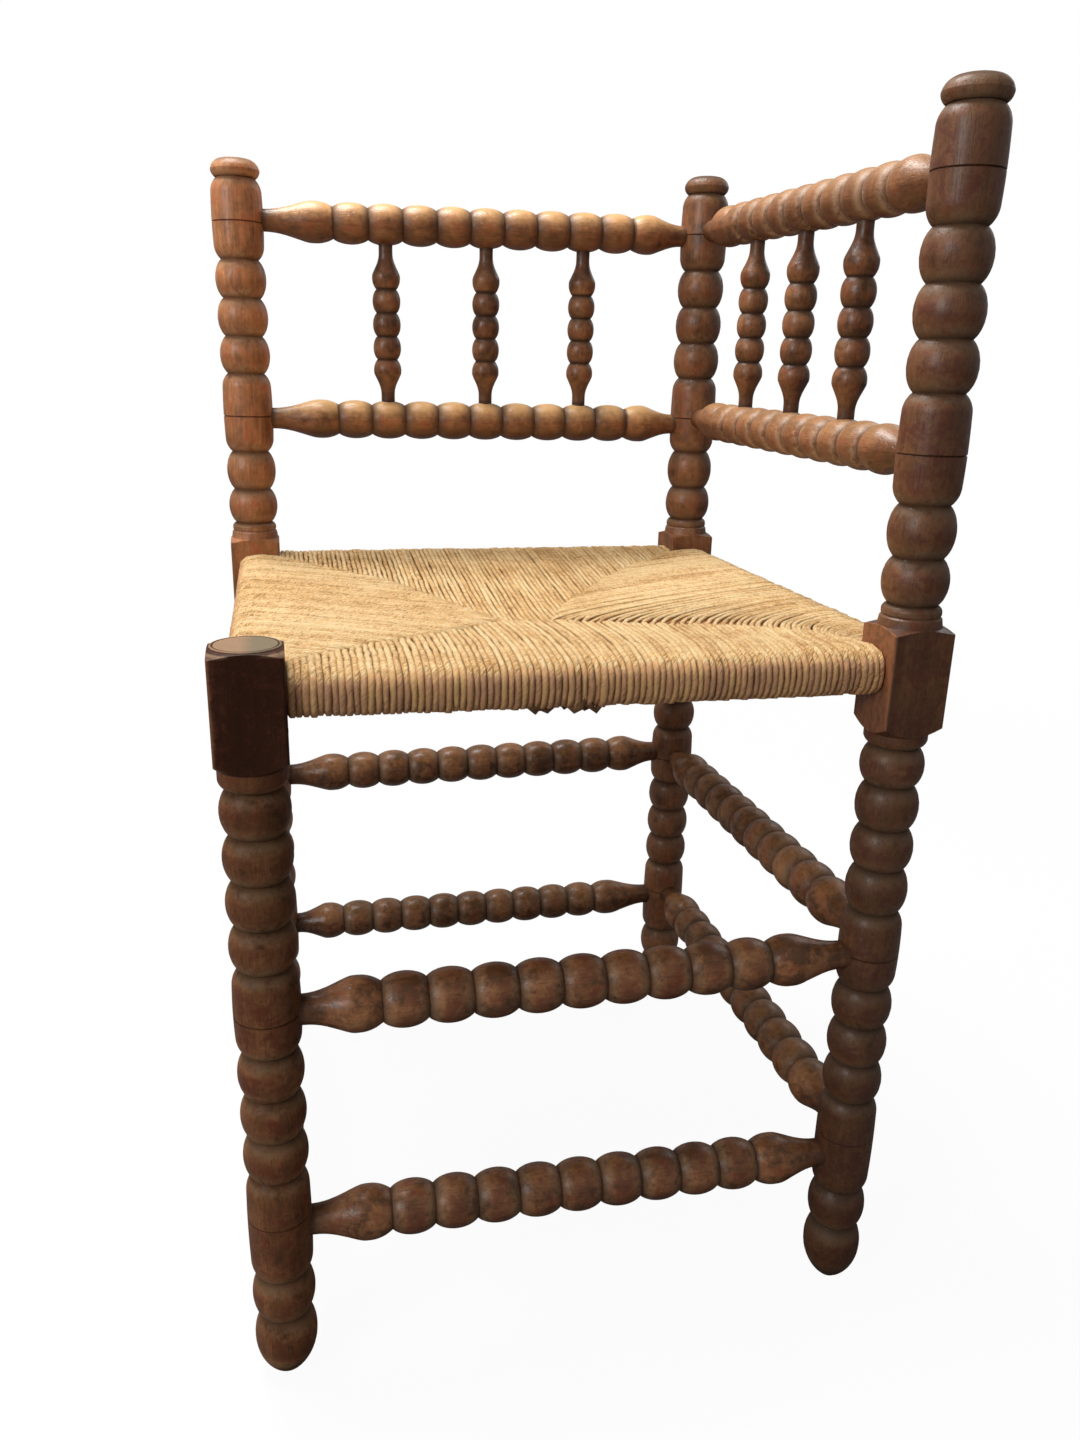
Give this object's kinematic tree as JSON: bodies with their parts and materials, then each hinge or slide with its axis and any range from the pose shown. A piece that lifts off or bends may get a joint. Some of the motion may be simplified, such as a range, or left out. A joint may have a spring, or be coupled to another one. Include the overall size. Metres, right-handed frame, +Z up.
{
  "type": "corner chair",
  "caption": "Square corner chair with bobbin-turned posts and stretchers, a low spindled back round two sides and a sagging rush seat.",
  "frame": {"origin": "on the floor, at the centre of the square of posts", "axes": "+Z up, +X from the low front left post to the front right post, +Y from the front to the rear; the back stands on the +Y and +X sides"},
  "size_m": [0.4298, 0.4298, 0.7887],
  "materials": {
    "turned_wood": "satin",
    "bare_wood": "matte",
    "rush_cord": "matte",
    "rush_stuffing": "matte"
  },
  "bodies": {
    "root": {"back_rail_rear_lower": "turned_wood", "back_rail_rear_upper": "turned_wood", "back_rail_right_lower": "turned_wood", "back_rail_right_upper": "turned_wood", "post_back_left": "turned_wood", "post_back_right": "turned_wood", "post_front_left": "turned_wood", "post_front_right": "turned_wood", "rush_seat": "rush_cord", "rush_stuffing": "rush_stuffing", "seat_rail_front": "bare_wood", "seat_rail_left": "bare_wood", "seat_rail_rear": "bare_wood", "seat_rail_right": "bare_wood", "spindle_rear_left": "turned_wood", "spindle_rear_middle": "turned_wood", "spindle_rear_right": "turned_wood", "spindle_right_front": "turned_wood", "spindle_right_middle": "turned_wood", "spindle_right_rear": "turned_wood", "stretcher_front_lower": "turned_wood", "stretcher_front_upper": "turned_wood", "stretcher_left_lower": "turned_wood", "stretcher_left_upper": "turned_wood", "stretcher_rear_lower": "turned_wood", "stretcher_rear_upper": "turned_wood", "stretcher_right_lower": "turned_wood", "stretcher_right_upper": "turned_wood"}
  },
  "joints": []
}
